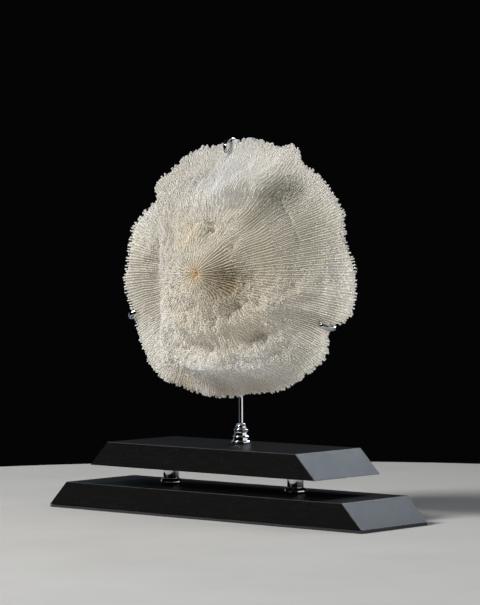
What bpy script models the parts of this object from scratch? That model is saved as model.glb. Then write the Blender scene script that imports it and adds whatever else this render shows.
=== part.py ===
"""Mushroom coral held by a chrome claw on two black boards.

Real size, in metres. The origin is on the table under the middle of the
boards, +X runs along the boards, the coral faces -Y and +Z is up.
"""
import math

import bmesh
import bpy
from mathutils import Matrix, Vector, noise

MM = 0.001
TOUCH_GAP = 0.3 * MM

# Boards with ends mitred at 45 degrees, and the pad under them
BOARD_THICKNESS = 17.6 * MM
LOWER_LENGTH = 300 * MM
LOWER_DEPTH = 72 * MM
UPPER_LENGTH = 216 * MM
UPPER_DEPTH = 70.5 * MM
BOARD_EDGE = 0.4 * MM
BOARD_GAP = 13.7 * MM
PAD_THICKNESS = 1.7 * MM
PAD_INSET = 0.3 * MM
STANDOFF_SPACING = 120 * MM

# Rod, its socket in the upper board and the turned hub at its top
ROD_Y = 10 * MM
ROD_RADIUS = 1.5 * MM
ROD_SOCKET_DEPTH = 12 * MM
HUB_Z = 180 * MM
HUB_RADIUS = 8 * MM
HUB_LENGTH = 9 * MM
ROD_PAST_HUB_CENTRE = 2 * MM

# Claw strips
STRIP_WIDTH = 3.2 * MM
STRIP_THICKNESS = 1.6 * MM
STRIP_EDGE = 0.25 * MM
ARM_START = 3.2 * MM
ARM_Y = 5.0 * MM
HOOK_LENGTH = 8.5 * MM
HOOK_CLEARANCE = 1.2 * MM
CLAW_ANGLES = {"claw_top": 89.4, "claw_right": -24.8, "claw_left": 201.6}

# Coral: place of the mouth's axis and of the plane through the rim
CORAL_X = 7 * MM
CORAL_Z = 174 * MM
RIM_Y = 1 * MM

# The coral's own sizes below are in millimetres
# Rim radius around the mouth: angle from +X towards +Z, radius
OUTLINE = (
    (0, 109), (6, 106), (13, 102.5), (23, 106.5), (31, 105), (43, 101.5), (52, 99),
    (57, 103.5), (61, 103.5), (65, 97.5), (72, 96.5), (84, 95.5), (97, 93), (104, 93.5),
    (112, 97), (129, 98.5), (137, 101.5), (141, 103), (144, 99.5), (146.5, 95),
    (149, 98), (158, 105), (163, 109.5), (177, 111.5), (184, 115), (195, 110),
    (206, 110), (219, 111.5), (226, 108.5), (234, 102), (243, 97), (252, 93.5),
    (270, 88), (283, 87), (293, 90.5), (315, 96), (325, 99.5), (333, 94), (338.5, 95),
    (341, 104), (345, 108.5), (352, 110),
)
# Height of the face in front of the rim plane: distance from the mouth, height
CROWN = (
    (0, 47), (6, 48), (15, 45), (30, 37), (45, 28), (55, 22.5), (65, 18), (75, 13),
    (84, 8.5), (95, 5.5), (105, 4.4), (120, 3.6),
)
# Mounds and pits: x and z from the mouth, half length, half width, turn, rise
FORMS = (
    (2, 58, 34, 19, 5, 11),
    (-38, 47, 22, 15, 40, 8),
    (26, 67, 26, 7, 31, 8),
    (39, 51, 26, 9, 33, -6),
    (5, -58, 45, 16, 0, 6),
    (-63, -4, 15, 44, 0, -14),
    (7, 30, 4, 3, 0, -5),
    (24, -5, 16, 10, -12, -9),
    (22, 22, 7, 4, 30, 3),
    (34, 20, 5, 4, 0, 3),
    (21, -21, 8, 6, 0, 4),
    (5, -28, 5, 5, 0, 3),
    (-5, -24, 4, 4, 0, -3),
    (13, -30, 4, 3, 0, -3),
    (29, -22, 5, 3, 0, -3),
    (27, -33, 20, 7, 16, 6),
    (75, -10, 9, 5, 20, 4),
    (54, -22, 20, 6, 22, 4),
    (-81, 7, 9, 4, 0, -3),
    (-84, -32, 9, 4, 20, -3),
    (-11, -52, 14, 7, 0, -6),
    (36, -43, 12, 6, 12, -6),
)
# Ridges around the mouth: path as angle and radius, half width, rise
RIDGES = (
    (((150, 63), (175, 63), (200, 65), (225, 72)), 7, 7),
    (((207, 67), (222, 72), (244, 73), (262, 70), (276, 71), (290, 74), (325, 88)), 6, 11),
    (((205, 50), (226, 50), (245, 43), (266, 40), (292, 39)), 5, 3),
    (((172, 43), (228, 41)), 5, 3),
    (((-30, 90), (-8, 91), (8, 90), (30, 92)), 4, 3),
)
RIDGE_FADE = 18
LUMPS = ((15, 2.2), (7, 1.0))
EDGE_HALF = 2.2
EDGE_ROUND = 5
MARGIN = 30
CAVITY_SHARE = 0.62
CAVITY_START = 6
SEGMENTS = 128
RINGS = 24
SEPTUM = 0.8
COSTA = 0.4
TOOTH = 1.6


def smooth_step(x, low, high):
    t = min(max((x - low) / (high - low), 0.0), 1.0)
    return t * t * (3 - 2 * t)


def curve_value(points, x):
    """Height at x of a smooth curve through points sorted by x."""
    xs = [p[0] for p in points]
    ys = [p[1] for p in points]
    last = len(points) - 1
    if x <= xs[0]:
        return ys[0]
    if x >= xs[last]:
        return ys[last]
    i = max(k for k in range(last) if xs[k] <= x)

    def slope(k):
        a, b = max(k - 1, 0), min(k + 1, last)
        return (ys[b] - ys[a]) / (xs[b] - xs[a])

    width = xs[i + 1] - xs[i]
    t = (x - xs[i]) / width
    return (
        ys[i] * (1 + 2 * t) * (1 - t) ** 2
        + ys[i + 1] * t * t * (3 - 2 * t)
        + slope(i) * width * t * (1 - t) ** 2
        + slope(i + 1) * width * t * t * (t - 1)
    )


def rim_radius(angle):
    """Distance from the mouth to the rim, in millimetres, angle in degrees."""
    before, after = OUTLINE[-2:], OUTLINE[:3]
    wrapped = (
        tuple((a - 360, r) for a, r in before)
        + OUTLINE
        + tuple((a + 360, r) for a, r in after)
    )
    return curve_value(wrapped, angle % 360)


def form_rise(x, z):
    """Mounds and pits, each a bell over a turned ellipse."""
    total = 0.0
    for cx, cz, length, width, turn, rise in FORMS:
        a = math.radians(turn)
        u = (x - cx) * math.cos(a) + (z - cz) * math.sin(a)
        v = (z - cz) * math.cos(a) - (x - cx) * math.sin(a)
        total += rise * math.exp(-(u / length) ** 2 - (v / width) ** 2)
    return total


def ridge_rise(angle, distance):
    """Ridges that run around the mouth and fade out at both ends."""
    total = 0.0
    for path, width, rise in RIDGES:
        first, last = path[0][0], path[-1][0]
        angle = (angle - first) % 360 + first
        if first < angle < last:
            fade = smooth_step(angle, first, first + RIDGE_FADE)
            fade *= 1 - smooth_step(angle, last - RIDGE_FADE, last)
            offset = (distance - curve_value(path, angle)) / width
            total += fade * rise * math.exp(-offset * offset)
    return total


def lump_rise(x, z):
    return sum(rise * noise.noise(Vector((x, z, 0)) / size) for size, rise in LUMPS)


def edge_half(inside):
    """Half thickness of the rounded rim, at a distance inside it."""
    t = min(max(inside, 0.0) / EDGE_ROUND, 1.0)
    return EDGE_HALF * math.sqrt(1 - (1 - t) ** 2)


def front_height(angle, distance):
    """Height of the coral's face in front of the rim plane, in millimetres."""
    angle %= 360
    inside = rim_radius(angle) - distance
    x = distance * math.cos(math.radians(angle))
    z = distance * math.sin(math.radians(angle))
    body = curve_value(CROWN, distance)
    body += form_rise(x, z) + ridge_rise(angle, distance) + lump_rise(x, z)
    return edge_half(inside) + max(body, 0.0) * smooth_step(inside, 0, MARGIN)


def back_height(angle, distance):
    """The hollow underside follows the crown, with a rounded rim."""
    inside = rim_radius(angle) - distance
    hollow = max(curve_value(CROWN, distance) - CAVITY_START, 0.0) * CAVITY_SHARE
    return hollow * smooth_step(inside, 0, MARGIN) - edge_half(inside)


def coral_point(unit, segment):
    """Place a point of a unit sphere, whose poles are at +Z and -Z, on the coral."""
    angle = math.degrees(math.atan2(unit.y, unit.x))
    side = 1 if segment % 2 == 0 else -1
    share = min(math.hypot(unit.x, unit.y), 1.0)
    rim = rim_radius(angle)
    distance = share * rim
    ridge = side * smooth_step(distance, 12, 40) * smooth_step(rim - distance, 0, 6)
    if unit.z > -1e-5:
        height = front_height(angle, distance) + SEPTUM * ridge
    else:
        height = back_height(angle, distance) - COSTA * ridge
    distance -= TOOTH * (1 - side) / 2 * smooth_step(share, 0.85, 1.0)
    x = distance * math.cos(math.radians(angle))
    z = distance * math.sin(math.radians(angle))
    return Vector((CORAL_X + x * MM, RIM_Y - height * MM, CORAL_Z + z * MM))


def new_material(name, colour, roughness, metallic=0.0):
    material = bpy.data.materials.new(name)
    material.use_nodes = True
    shader = material.node_tree.nodes["Principled BSDF"]
    shader.inputs["Base Color"].default_value = (*colour, 1)
    shader.inputs["Roughness"].default_value = roughness
    shader.inputs["Metallic"].default_value = metallic
    material.diffuse_color = (*colour, 1)
    return material


def new_collection(name):
    collection = bpy.data.collections.new(name)
    bpy.context.scene.collection.children.link(collection)
    return collection


def add_object(name, data, collection, material=None):
    item = bpy.data.objects.new(name, data)
    collection.objects.link(item)
    if material:
        data.materials.append(material)
    return item


def mesh_from(shape, name):
    mesh = bpy.data.meshes.new(name)
    shape.to_mesh(mesh)
    shape.free()
    return mesh


def smooth_sides(mesh, angle=35):
    mesh.shade_smooth()
    mesh.set_sharp_from_angle(angle=math.radians(angle))


def add_bevel(item, width):
    bevel = item.modifiers.new("softened edges", "BEVEL")
    bevel.width = width
    bevel.segments = 2
    bevel.limit_method = "ANGLE"
    bevel.angle_limit = math.radians(30)


def cut_hole(item, radius, low, high, x, y, cutters):
    """Drill an upright hole between two heights."""
    shape = bmesh.new()
    bmesh.ops.create_cone(
        shape, cap_ends=True, segments=24, radius1=radius, radius2=radius, depth=high - low
    )
    cutter = add_object(item.name + "_drill", mesh_from(shape, "drill"), cutters)
    cutter.location = (x, y, (low + high) / 2)
    cutter.hide_render = True
    cutter.display_type = "WIRE"
    hole = item.modifiers.new("drilled hole", "BOOLEAN")
    hole.operation = "DIFFERENCE"
    hole.solver = "EXACT"
    hole.object = cutter


def add_board(name, length, depth, low, collection, material):
    """A board whose ends slope in at 45 degrees from the underside up."""
    shape = bmesh.new()
    bmesh.ops.create_cube(shape, size=1)
    for vertex in shape.verts:
        top = vertex.co.z > 0
        half = length / 2 - (BOARD_THICKNESS if top else 0)
        vertex.co.x = math.copysign(half, vertex.co.x)
        vertex.co.y *= depth
        vertex.co.z = low + (BOARD_THICKNESS if top else 0)
    board = add_object(name, mesh_from(shape, name), collection, material)
    add_bevel(board, BOARD_EDGE)
    return board


def add_pad(collection, material):
    shape = bmesh.new()
    bmesh.ops.create_cube(shape, size=1)
    size = Vector((LOWER_LENGTH - 2 * PAD_INSET, LOWER_DEPTH - 2 * PAD_INSET, PAD_THICKNESS))
    bmesh.ops.scale(shape, vec=size, verts=shape.verts)
    bmesh.ops.translate(shape, vec=(0, 0, PAD_THICKNESS / 2), verts=shape.verts)
    add_object("base_pad", mesh_from(shape, "base_pad"), collection, material)


def add_turned(name, profile, collection, material, closed=False, steps=24):
    """Turn a profile of radius and height pairs, in millimetres, about Z."""
    shape = bmesh.new()
    points = [shape.verts.new((radius * MM, 0, height * MM)) for radius, height in profile]
    for first, second in zip(points, points[1:]):
        shape.edges.new((first, second))
    if closed:
        shape.edges.new((points[-1], points[0]))
    item = add_object(name, mesh_from(shape, name), collection, material)
    screw = item.modifiers.new("turned", "SCREW")
    screw.axis = "Z"
    screw.steps = steps
    screw.render_steps = steps
    screw.use_merge_vertices = True
    screw.merge_threshold = 0.00005
    screw.use_smooth_shade = True
    return item


def add_standoffs(low, collection, material):
    height = (BOARD_GAP - 2 * TOUCH_GAP) / MM
    profile = (
        (0, height), (5.5, height), (5.8, height - 0.3), (5.8, 4.5), (5.4, 4.3),
        (5.4, 3.9), (6.1, 3.8), (6.9, 3.3), (7.5, 2.4), (7.7, 1.4), (7.5, 0.3),
        (7.2, 0), (0, 0),
    )
    for side, name in ((-1, "standoff_left"), (1, "standoff_right")):
        item = add_turned(name, profile, collection, material)
        item.location = (side * STANDOFF_SPACING / 2, 0, low)


def add_collar(low, collection, material):
    bore = ROD_RADIUS / MM + 0.3
    profile = (
        (bore, 14.6), (2.9, 14.6), (3.3, 14.3), (3.2, 13.8), (3.6, 13.3), (4.1, 12.2),
        (4.1, 11.2), (3.6, 10.8), (5.0, 10.5), (5.3, 10.1), (5.1, 9.6), (4.75, 9.3),
        (4.75, 6.0), (5.7, 5.6), (6.15, 5.1), (5.7, 4.6), (5.5, 4.3), (5.8, 2.5),
        (6.5, 2.2), (7.1, 1.6), (7.1, 0.3), (6.8, 0), (bore, 0),
    )
    collar = add_turned("rod_collar", profile, collection, material, closed=True)
    collar.location = (0, ROD_Y, low)


def add_rod(low, high, collection, material):
    shape = bmesh.new()
    bmesh.ops.create_cone(
        shape, cap_ends=True, segments=20, radius1=ROD_RADIUS, radius2=ROD_RADIUS,
        depth=high - low,
    )
    bmesh.ops.translate(shape, vec=(0, ROD_Y, (low + high) / 2), verts=shape.verts)
    mesh = mesh_from(shape, "rod")
    smooth_sides(mesh)
    add_object("rod", mesh, collection, material)


def add_hub(collection, cutters, material):
    """A turned hub whose axis runs front to back, with the rod's hole below."""
    radius, length = HUB_RADIUS / MM, HUB_LENGTH / MM
    profile = (
        (0, length), (4.5, length), (radius - 1.2, length - 0.9), (radius, length - 2.6),
        (radius, 0.5), (radius - 0.5, 0), (0, 0),
    )
    hub = add_turned("claw_hub", profile, collection, material)
    front = ARM_Y + STRIP_THICKNESS / 2 + TOUCH_GAP
    hub.matrix_world = Matrix.Translation((0, front, HUB_Z)) @ Matrix.Rotation(-math.pi / 2, 4, "X")
    top = HUB_Z + ROD_PAST_HUB_CENTRE + TOUCH_GAP
    low = HUB_Z - 2 * HUB_RADIUS
    cut_hole(hub, ROD_RADIUS + TOUCH_GAP, low, top, 0, ROD_Y, cutters)


def coral_polar(x, z):
    """Angle and distance from the mouth, in degrees and millimetres."""
    dx, dz = (x - CORAL_X) / MM, (z - CORAL_Z) / MM
    return math.degrees(math.atan2(dz, dx)), math.hypot(dx, dz)


def rim_reach(direction, aside):
    """Distance in metres from the hub to the coral's rim, along a line set aside."""
    start = Vector((0, 0, HUB_Z)) + aside * direction.cross(Vector((0, 1, 0)))
    near, far = 60 * MM, 140 * MM
    while far - near > 0.01 * MM:
        middle = (near + far) / 2
        point = start + middle * direction
        angle, distance = coral_polar(point.x, point.z)
        if distance < rim_radius(angle):
            near = middle
        else:
            far = middle
    return near


def smooth_route(points, steps=4):
    """Catmull-Rom points through a list of two-number points."""
    ends = [points[0]] + list(points) + [points[-1]]
    route = [Vector(points[0])]
    for a, b, c, d in zip(ends, ends[1:], ends[2:], ends[3:]):
        a, b, c, d = Vector(a), Vector(b), Vector(c), Vector(d)
        for k in range(1, steps + 1):
            t = k / steps
            route.append(
                0.5 * (2 * b + (c - a) * t + (2 * a - 5 * b + 4 * c - d) * t * t
                       + (3 * b - a - 3 * c + d) * t ** 3)
            )
    return route


def offset_outline(route, half):
    """The closed outline of a strip of this half thickness along a route."""
    left, right = [], []
    for i, point in enumerate(route):
        along = (route[min(i + 1, len(route) - 1)] - route[max(i - 1, 0)]).normalized()
        side = Vector((-along.y, along.x)) * half
        left.append(point + side)
        right.append(point - side)
    return left + right[::-1]


def add_claw(name, angle, collection, material):
    """A strip from the hub along the coral's back, bent over its rim to the front."""
    a = math.radians(angle)
    outward = Vector((math.cos(a), 0, math.sin(a)))
    half = STRIP_WIDTH / 2
    reach = max(rim_reach(outward, aside) for aside in (-half, 0, half))
    tip = reach - HOOK_LENGTH
    tip_place = coral_polar(tip * outward.x, HUB_Z + tip * outward.z)
    tip_y = RIM_Y - front_height(*tip_place) * MM - HOOK_CLEARANCE - STRIP_THICKNESS / 2
    bend = (
        (reach - 9 * MM, ARM_Y),
        (reach - 2 * MM, ARM_Y - 0.1 * MM),
        (reach + 1.2 * MM, ARM_Y - 1.8 * MM),
        (reach + 2.0 * MM, ARM_Y - 5.0 * MM),
        (reach + 0.8 * MM, tip_y + 1.6 * MM),
        (reach - 3.2 * MM, tip_y - 1.5 * MM),
        (tip, tip_y),
    )
    route = [Vector((ARM_START, ARM_Y))] + smooth_route(bend)
    outline = offset_outline(route, STRIP_THICKNESS / 2 - STRIP_EDGE)

    curve = bpy.data.curves.new(name, "CURVE")
    curve.dimensions = "2D"
    curve.fill_mode = "BOTH"
    curve.extrude = STRIP_WIDTH / 2 - STRIP_EDGE
    curve.bevel_depth = STRIP_EDGE
    curve.bevel_resolution = 0
    spline = curve.splines.new("POLY")
    spline.points.add(len(outline) - 1)
    for point, place in zip(spline.points, outline):
        point.co = (place.x, place.y, 0, 1)
    spline.use_cyclic_u = True
    claw = add_object(name, curve, collection, material)
    across = outward.cross(Vector((0, 1, 0)))
    turn = Matrix((outward, Vector((0, 1, 0)), across)).transposed().to_4x4()
    claw.matrix_world = Matrix.Translation((0, 0, HUB_Z)) @ turn


def add_coral(collection, material):
    """One solid from a sphere: one half is the ridged face, the other the underside."""
    shape = bmesh.new()
    bmesh.ops.create_uvsphere(shape, u_segments=SEGMENTS, v_segments=RINGS, radius=1)
    for vertex in shape.verts:
        turn = math.atan2(vertex.co.y, vertex.co.x) / (2 * math.pi)
        vertex.co = coral_point(vertex.co.copy(), round(turn * SEGMENTS))
    # The sphere's Z becomes -Y and its Y becomes Z, so its faces still point out
    bmesh.ops.triangulate(shape, faces=shape.faces)
    mesh = mesh_from(shape, "coral")
    smooth_sides(mesh, 60)
    add_object("coral", mesh, collection, material)


def main():
    for item in list(bpy.data.objects):
        bpy.data.objects.remove(item, do_unlink=True)
    parts = new_collection("mushroom_coral")
    cutters = new_collection("cutters")

    bone = new_material("coral skeleton", (0.78, 0.74, 0.66), 0.75)
    chrome = new_material("chrome", (0.82, 0.82, 0.84), 0.08, 1.0)
    black = new_material("black painted wood", (0.012, 0.012, 0.014), 0.38)
    felt = new_material("black felt", (0.015, 0.015, 0.016), 0.95)

    lower_low = PAD_THICKNESS + TOUCH_GAP
    lower_top = lower_low + BOARD_THICKNESS
    upper_low = lower_top + BOARD_GAP
    upper_top = upper_low + BOARD_THICKNESS
    socket_low = upper_top - ROD_SOCKET_DEPTH

    add_pad(parts, felt)
    add_board("lower_board", LOWER_LENGTH, LOWER_DEPTH, lower_low, parts, black)
    upper = add_board("upper_board", UPPER_LENGTH, UPPER_DEPTH, upper_low, parts, black)
    above = upper_top + BOARD_THICKNESS
    cut_hole(upper, ROD_RADIUS + TOUCH_GAP, socket_low, above, 0, ROD_Y, cutters)
    add_standoffs(lower_top + TOUCH_GAP, parts, chrome)
    add_collar(upper_top + TOUCH_GAP, parts, chrome)
    add_rod(socket_low + TOUCH_GAP, HUB_Z + ROD_PAST_HUB_CENTRE, parts, chrome)
    add_hub(parts, cutters, chrome)
    for name, angle in CLAW_ANGLES.items():
        add_claw(name, angle, parts, chrome)
    add_coral(parts, bone)


main()
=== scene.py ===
# %% [markdown]
# # A mushroom coral on a display stand
# The real thing is the white skeleton of a large mushroom coral, shown upright
# on a steel rod. Hundreds of thin stone blades, called septa, run from its
# mouth to its rim. Polished claws hold the rim from behind, and the rod stands
# on black boards with slanted ends.
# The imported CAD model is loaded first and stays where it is: every piece made
# here takes its place from it.

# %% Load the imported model
import math

import bpy
import numpy as np
from mathutils import Matrix, Vector, noise


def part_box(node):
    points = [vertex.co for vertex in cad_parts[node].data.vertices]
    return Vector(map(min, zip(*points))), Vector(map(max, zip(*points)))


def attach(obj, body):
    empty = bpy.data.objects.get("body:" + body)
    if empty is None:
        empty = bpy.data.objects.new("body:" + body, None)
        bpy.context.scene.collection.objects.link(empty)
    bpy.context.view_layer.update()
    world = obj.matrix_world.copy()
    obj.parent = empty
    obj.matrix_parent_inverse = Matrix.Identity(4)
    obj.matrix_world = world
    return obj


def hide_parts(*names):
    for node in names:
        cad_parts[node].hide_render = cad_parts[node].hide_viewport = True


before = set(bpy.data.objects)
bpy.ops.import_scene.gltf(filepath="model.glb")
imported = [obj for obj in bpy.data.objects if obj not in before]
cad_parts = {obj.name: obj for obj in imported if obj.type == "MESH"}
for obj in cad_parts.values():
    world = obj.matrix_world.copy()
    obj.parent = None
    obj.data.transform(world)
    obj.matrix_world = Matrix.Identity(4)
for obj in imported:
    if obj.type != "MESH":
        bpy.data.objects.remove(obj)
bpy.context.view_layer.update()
MM = 0.001
print("CAD nodes:", sorted(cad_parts))

# %% [markdown]
# ## The camera
# The photographer stood to the right of the coral, slightly above its middle,
# with a long lens. The place and the turn come from the boards: their corners
# fit a camera 2.2 m away. The camera's three directions are worked out from
# its yaw, its pitch and a very small roll, because that keeps each of them
# easy to correct.

# %% Camera
CAMERA_PLACE = (1.4612, -1.6060, 0.2209)
CAMERA_YAW = 42.13
CAMERA_PITCH = -1.8
CAMERA_ROLL = -0.35
LENS = 181


def add_camera(place, yaw, pitch, roll, lens):
    ahead = Vector((-math.sin(yaw), math.cos(yaw), 0))
    aside = Vector((math.cos(yaw), math.sin(yaw), 0))
    up = Vector((0, 0, 1))
    forward = ahead * math.cos(pitch) + up * math.sin(pitch)
    upward = up * math.cos(pitch) - ahead * math.sin(pitch)
    right = aside * math.cos(roll) + upward * math.sin(roll)
    top = upward * math.cos(roll) - aside * math.sin(roll)
    bpy.ops.object.camera_add()
    camera = bpy.context.object
    camera.name = "camera"
    turn = Matrix((right, top, -forward)).transposed().to_4x4()
    camera.matrix_world = Matrix.Translation(place) @ turn
    camera.data.lens = lens
    camera.data.sensor_width = 36
    return camera


turns = (math.radians(degrees) for degrees in (CAMERA_YAW, CAMERA_PITCH, CAMERA_ROLL))
camera = add_camera(CAMERA_PLACE, *turns, LENS)
bpy.context.scene.camera = camera
print("camera at", tuple(round(c, 3) for c in camera.location), "lens", camera.data.lens)

# %% [markdown]
# ## Shader maths in plain Python
# A finish is a network of nodes, and most of the nodes only add, scale or mix.
# Two small classes keep that readable. A Wire is one socket, and plus, minus
# and times on it add Math nodes. A Finish is one material, and its node method
# makes any other node from a type, its settings and its inputs.

# %% Wires and finishes
class Wire:
    """One output socket of a finish, which takes Python's signs."""

    def __init__(self, finish, socket):
        self.finish = finish
        self.socket = socket

    def maths(self, operation, first, second):
        return self.finish.node("ShaderNodeMath", {"operation": operation}, {0: first, 1: second})

    def __add__(self, other):
        return self.maths("ADD", self, other)

    def __radd__(self, other):
        return self.maths("ADD", other, self)

    def __sub__(self, other):
        return self.maths("SUBTRACT", self, other)

    def __mul__(self, other):
        return self.maths("MULTIPLY", self, other)

    def __rmul__(self, other):
        return self.maths("MULTIPLY", other, self)


class Finish:
    """One procedural material."""

    def __init__(self, name, **fixed):
        self.material = bpy.data.materials.new(name)
        self.material.use_nodes = True
        self.tree = self.material.node_tree
        self.shader = self.tree.nodes["Principled BSDF"]
        for socket, value in fixed.items():
            self.shader.inputs[socket.replace("_", " ")].default_value = value

    def feed(self, socket, value):
        if isinstance(value, Wire):
            self.tree.links.new(value.socket, socket)
        else:
            socket.default_value = value

    def node(self, kind, settings=None, inputs=None, output=0):
        made = self.tree.nodes.new(kind)
        for name, value in (settings or {}).items():
            if name == "stops":
                for _ in range(len(value) - len(made.color_ramp.elements)):
                    made.color_ramp.elements.new(1)
                for element, (place, colour) in zip(made.color_ramp.elements, value):
                    element.position = place
                    element.color = (*colour, 1)
            else:
                setattr(made, name, value)
        for name, value in (inputs or {}).items():
            self.feed(made.inputs[name], value)
        return Wire(self, made.outputs[output])

    def grain(self, scale, detail=3, roughness=0.55, stretch=(1, 1, 1)):
        """Noise fixed to the piece, from 0 to 1, finer where the scale is larger."""
        place = self.node("ShaderNodeTexCoord", output=3)
        place = self.node("ShaderNodeMapping", inputs={"Vector": place, "Scale": stretch})
        inputs = {"Vector": place, "Scale": scale, "Detail": detail, "Roughness": roughness}
        return self.node("ShaderNodeTexNoise", inputs=inputs)

    def ramp(self, factor, *stops):
        return self.node("ShaderNodeValToRGB", {"stops": stops}, {"Fac": factor})

    def blend(self, factor, first, second):
        """Mix two colours, each a wire or a red, green, blue triple."""
        ends = [c if isinstance(c, Wire) else (*c, 1) for c in (first, second)]
        inputs = {0: factor, 6: ends[0], 7: ends[1]}
        return self.node("ShaderNodeMix", {"data_type": "RGBA"}, inputs, output=2)

    def near(self, centre, radius):
        """1 at a place on the piece, down to 0 at this distance from it."""
        place = self.node("ShaderNodeTexCoord", output=3)
        apart = self.node(
            "ShaderNodeVectorMath", {"operation": "DISTANCE"}, {0: place, 1: centre}, output=1
        )
        inputs = {"Value": apart, "From Min": radius, "From Max": 0, "To Min": 0, "To Max": 1}
        settings = {"interpolation_type": "SMOOTHSTEP"}
        return self.node("ShaderNodeMapRange", settings, inputs)

    def set(self, **sockets):
        for name, value in sockets.items():
            self.feed(self.shader.inputs[name.replace("_", " ")], value)

    def bump(self, height, strength, distance):
        inputs = {"Height": height, "Strength": strength, "Distance": distance}
        self.set(Normal=self.node("ShaderNodeBump", inputs=inputs))


print("shader helpers ready")

# %% [markdown]
# ## The finishes
# The coral is chalky stone: dull and nearly white. Its grooves are painted
# darker and warmer than its edges, as painted shade. Which part of a blade is
# edge and which is groove can't be told from a place in space, so the mesh
# carries a number called crest, 0 in the grooves and 1 on the edges, and the
# finish reads it. The brown round the mouth and the cream patch beside it are
# old tissue stain, and the brown beside the mouth is partly stain and partly
# painted shade of the hollow there. The valleys, the hollows, the band under
# the ledge, the plateau on the right and a dent in the left brim are painted
# darker, as painted shade. The top of the ledge below the mouth is painted near
# white, as painted light. Two broad grey tints darken the upper left and the
# left brim. Each such place is a ball that fades out with distance, and its
# tint is stronger in the grooves than on the edges: dirt gathers there, and the
# painted shade is deepest there.

# %% Places and tints on the coral
# The mouth's axis, and the plane through the rim, in millimetres
CORAL_X = 7
CORAL_Z = 174
RIM_Y = 1
# Stains and painted light and shade: x, height in front of the rim's plane, z, radius, share and tint
STAINS_AND_PAINTED_LIGHT = (
    # Broad grey tints that darken the upper left and the left brim
    (-42, 25, 42, 64, 1.00, (0.60, 0.56, 0.48)),
    (-80, 10, -5, 54, 0.85, (0.60, 0.56, 0.47)),
    # Painted shade on the plateau right of the mouth, whose slope faces away from the light
    (58, 14, 22, 52, 0.80, (0.60, 0.56, 0.45)),
    # Painted light: the ledge below the mouth painted near white on its top, which faces the light
    (-12, 20, -66, 28, 0.90, (0.98, 0.965, 0.94)),
    (30, 18, -66, 26, 0.90, (0.98, 0.965, 0.94)),
    # Cream stain beside the mouth
    (-13, 44, 27, 19, 0.75, (0.82, 0.72, 0.52)),
    # Brown right of the mouth: partly stain, partly painted shade of the hollow there
    (20, 37, -6, 30, 1.00, (0.43, 0.34, 0.21)),
    # Painted shade along the steep flank below the upper mound
    (32, 25, 37, 12, 0.55, (0.42, 0.39, 0.31)),
    (40, 20, 44, 18, 0.80, (0.35, 0.33, 0.26)),
    (48, 14, 52, 21, 0.85, (0.32, 0.30, 0.24)),
    (56, 8, 59, 18, 0.80, (0.33, 0.31, 0.25)),
    # Painted shade in two hollows below the mouth
    (-11, 19, -53, 14, 0.45, (0.66, 0.57, 0.44)),
    (34, 20, -43, 14, 0.50, (0.62, 0.56, 0.43)),
    # Painted shade in the band below the ledge
    (-52, 4, -79, 24, 0.85, (0.56, 0.48, 0.37)),
    (-14, 4, -84, 20, 0.65, (0.62, 0.53, 0.41)),
    (20, 4, -82, 20, 0.45, (0.64, 0.56, 0.45)),
    # Brown stains near the mouth
    (-5, 33, -25, 7, 0.50, (0.60, 0.48, 0.34)),
    (-12, 42, -8, 8, 0.45, (0.74, 0.63, 0.44)),
    # Painted shade in a dent in the left brim
    (-84, 6, -32, 11, 0.35, (0.66, 0.62, 0.53)),
    # The mouth's own brown
    (0, 47, 0, 13, 0.70, (0.78, 0.60, 0.38)),
    (1, 43, -1, 4.5, 1.00, (0.50, 0.25, 0.10)),
)


def on_coral(x, height, z):
    """A place in metres. x and z start at the mouth, and height at the rim's plane."""
    return ((CORAL_X + x) * MM, (RIM_Y - height) * MM, (CORAL_Z + z) * MM)


print("stains:", len(STAINS_AND_PAINTED_LIGHT))

# %% Coral finish
def coral_finish():
    finish = Finish("coral skeleton", Roughness=0.9, Specular_IOR_Level=0.25)
    crest = finish.node("ShaderNodeAttribute", {"attribute_name": "crest"}, output=2)
    # Crest to colour: a low crest paints the grooves darker and warmer, as painted shade, and a crest near
    # 1 gives the skeleton's own near-white
    colour = finish.ramp(
        crest + 0.3 * finish.grain(300, 2) - 0.12,
        (0.0, (0.56, 0.49, 0.36)),
        (0.35, (0.78, 0.73, 0.62)),
        (0.7, (0.90, 0.875, 0.82)),
        (1.0, (0.94, 0.93, 0.91)),
    )
    warm = finish.ramp(finish.grain(26, 3), (0.4, (0, 0, 0)), (0.8, (1, 1, 1)))
    colour = finish.blend(warm * 0.2, colour, (0.84, 0.77, 0.65))
    middle = finish.near(on_coral(14, 32, -8), 105 * MM)
    colour = finish.blend(middle * 0.7, colour, (0.76, 0.69, 0.55))
    upper_mound = finish.near(on_coral(0, 25, 72), 45 * MM)
    colour = finish.blend(upper_mound * 0.8, colour, (0.80, 0.80, 0.79))
    # Tints are stronger in the grooves: dirt gathers there, and painted shade is deepest there
    in_grooves = crest * -0.7 + 1.3
    for x, height, z, radius, share, tint in STAINS_AND_PAINTED_LIGHT:
        stain_or_painted_light = finish.near(on_coral(x, height, z), radius * MM) * share * in_grooves
        colour = finish.blend(stain_or_painted_light, colour, tint)
    finish.set(Base_Color=colour)
    finish.bump(finish.grain(1100, 3, 0.7) + 0.6 * finish.grain(420, 2), 0.2, 0.0003)
    return finish.material


coral_skeleton = coral_finish()
print("made", coral_skeleton.name)

# %% [markdown]
# Polished plating is almost a mirror, so it needs little colour of its own and
# takes its look from what stands round it. A trace of uneven roughness, and
# very shallow long waves, keep it from looking like a computer's mirror ball.

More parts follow.
